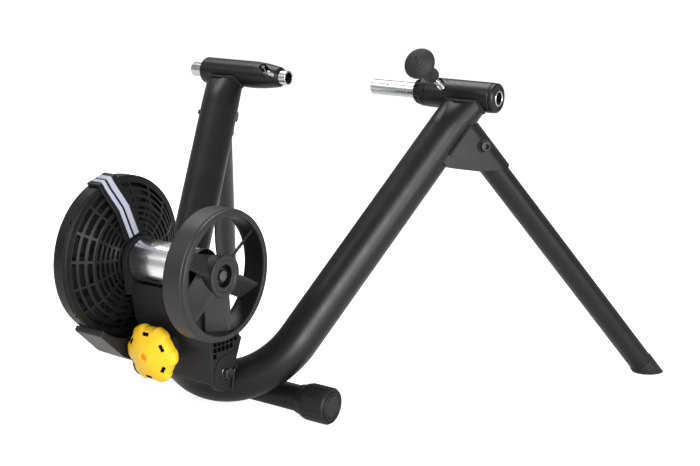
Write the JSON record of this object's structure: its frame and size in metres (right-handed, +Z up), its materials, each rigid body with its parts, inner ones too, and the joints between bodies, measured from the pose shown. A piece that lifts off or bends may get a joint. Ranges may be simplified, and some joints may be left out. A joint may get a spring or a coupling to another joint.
{
  "type": "wheel-on bike trainer",
  "caption": "Folding wheel-on bike trainer: bent tube frame, axle clamps with a lever, and a tilting roller unit with flywheel and vented brake drum.",
  "frame": {"origin": "centre of the outline on the floor, under the middle of the overall box", "axes": "+X towards the lever side, +Y towards the folding legs, +Z up"},
  "size_m": [0.7772, 0.6737, 0.436],
  "materials": {
    "black_paint": "satin",
    "plated_steel": "bright zinc plate",
    "polished_steel": "polished",
    "black_rubber": "matt",
    "grip_rubber": "soft matt",
    "black_plastic": "satin",
    "cast_black": "satin paint on a casting",
    "grey_plastic": "satin",
    "fly_grey": "satin paint on a casting",
    "band_pale": "satin",
    "yellow_plastic": "satin",
    "aluminium": "satin",
    "dark_bolt": "black oxide",
    "board_green": "solder mask"
  },
  "bodies": {
    "frame": {"main_frame_tube": "black_paint", "crossbar": "black_paint", "crossbar_foot_near": "black_rubber", "crossbar_foot_far": "black_rubber", "clamp_housing_near": "black_paint", "clamp_nose_collar": "black_plastic", "clamp_housing_far": "black_paint", "leg_bracket_near": "black_paint", "leg_bracket_far": "black_paint", "unit_pivot_bracket": "black_paint", "pivot_wire_hook": "black_paint", "leg_bolt_near": "dark_bolt", "leg_bolt_far": "dark_bolt"},
    "leg_near": {"leg_tube_near": "black_paint", "leg_foot_near": "black_rubber"},
    "leg_far": {"leg_tube_far": "black_paint", "leg_foot_far": "black_rubber"},
    "clamp_washer": {"clamp_thrust_washer": "plated_steel"},
    "lever": {"clamp_shaft": "plated_steel", "lever_stem": "plated_steel", "lever_knob": "grip_rubber"},
    "cup_washer": {"cup_thrust_washer": "plated_steel"},
    "cup": {"cup_shaft": "plated_steel", "cup_lock_pin": "dark_bolt"},
    "unit": {"unit_body": "cast_black", "unit_pivot_bolt": "plated_steel", "drum_shell": "black_plastic", "fan_grille": "black_plastic", "band_cover": "black_plastic", "band_stripe_wide": "band_pale", "band_stripe_narrow": "band_pale", "lower_cover": "grey_plastic", "magnet_plate": "aluminium", "control_board": "board_green", "power_inlet": "black_plastic", "bearing_near": "plated_steel", "bearing_far": "plated_steel"},
    "rotor": {"roller": "polished_steel", "roller_spindle": "plated_steel", "flywheel": "fly_grey", "flywheel_bolt": "plated_steel", "brake_rotor": "aluminium"},
    "rod": {"anchor_pin": "plated_steel", "adjuster_rod": "plated_steel"},
    "rod_washer": {"knob_washer": "plated_steel"},
    "knob": {"adjuster_knob": "yellow_plastic"}
  },
  "joints": [
    {"name": "leg_fold_near", "type": "hinge", "parent": "frame", "child": "leg_near", "pos_m": [0.20494, 0.08776, 0.31776], "axis": [-0.861, 0.5013, -0.0862], "range_deg": [0, 73]},
    {"name": "leg_fold_far", "type": "hinge", "parent": "frame", "child": "leg_far", "pos_m": [-0.20494, 0.08776, 0.31776], "axis": [-0.861, -0.5013, 0.0862], "range_deg": [0, 73]},
    {"name": "clamp_slide", "type": "slide", "parent": "frame", "child": "clamp_washer", "axis": [-1, 0, 0], "range_m": [0, 0.018]},
    {"name": "lever_turn", "type": "hinge", "parent": "clamp_washer", "child": "lever", "pos_m": [0.162, 0.0891, 0.3787], "axis": [-1, 0, 0], "range_deg": [0, 52]},
    {"name": "cup_slide", "type": "slide", "parent": "frame", "child": "cup_washer", "axis": [1, 0, 0], "range_m": [0, 0.018]},
    {"name": "cup_turn", "type": "hinge", "parent": "cup_washer", "child": "cup", "pos_m": [-0.125, 0.0891, 0.3787], "axis": [1, 0, 0], "range_deg": [0, 46]},
    {"name": "unit_tilt", "type": "hinge", "parent": "frame", "child": "unit", "pos_m": [0, -0.2022, 0.0611], "axis": [-1, 0, 0], "range_deg": [0, 10]},
    {"name": "roller_spin", "type": "hinge", "parent": "unit", "child": "rotor", "pos_m": [0, -0.2413, 0.1892], "axis": [1, 0, 0], "continuous": true},
    {"name": "rod_swing", "type": "hinge", "parent": "frame", "child": "rod", "pos_m": [-0.016, -0.1729, 0.0975], "axis": [-1, 0, 0], "range_deg": [0, 4.5]},
    {"name": "washer_slide", "type": "slide", "parent": "rod", "child": "rod_washer", "axis": [0, 0.9935, 0.1142], "range_m": [0, 0.006]},
    {"name": "knob_turn", "type": "hinge", "parent": "rod_washer", "child": "knob", "pos_m": [-0.016, -0.26231, 0.08722], "axis": [0, -0.9935, -0.1142], "continuous": true}
  ],
  "couplings": [
    {"joint": "lever_turn", "follows": "clamp_slide", "rad_per_m": 50.421},
    {"joint": "cup_turn", "follows": "cup_slide", "rad_per_m": 44.603},
    {"joint": "rod_swing", "follows": "unit_tilt", "ratio": 0.4455},
    {"joint": "washer_slide", "follows": "unit_tilt", "m_per_rad": 0.0341}
  ]
}
